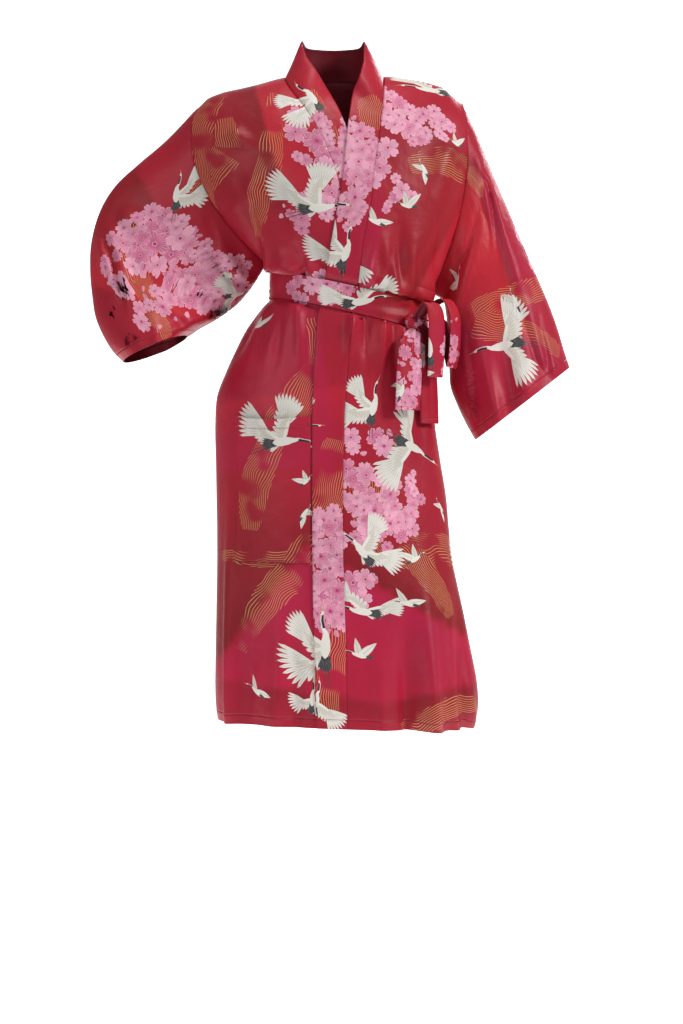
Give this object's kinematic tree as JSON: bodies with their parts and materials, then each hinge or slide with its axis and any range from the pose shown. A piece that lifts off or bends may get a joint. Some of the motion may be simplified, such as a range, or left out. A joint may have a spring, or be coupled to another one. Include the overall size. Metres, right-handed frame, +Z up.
{
  "type": "kimono robe",
  "caption": "Knee-length kimono robe with wide sleeves, a crossed front with a long neckband, a patch pocket and a tied sash, in its worn hollow form.",
  "frame": {"origin": "between the shoulders at the base of the neck, where the shoulders carry the robe", "axes": "+Z up, -Y the way the wearer faces, +X the wearer's left"},
  "size_m": [0.766, 0.2751, 1.0964],
  "materials": {
    "robe_satin": "printed crimson satin",
    "sash_satin": "printed crimson satin"
  },
  "bodies": {
    "root": {"back_panel": "robe_satin", "front_right": "robe_satin", "front_left": "robe_satin", "sleeve_right": "robe_satin", "sleeve_left": "robe_satin", "neckband": "robe_satin", "pocket": "robe_satin", "sash": "sash_satin", "bow_knot": "sash_satin", "bow_loop_inner": "sash_satin", "bow_loop_outer": "sash_satin", "bow_tail_front": "sash_satin", "bow_tail_rear": "sash_satin"}
  },
  "joints": []
}
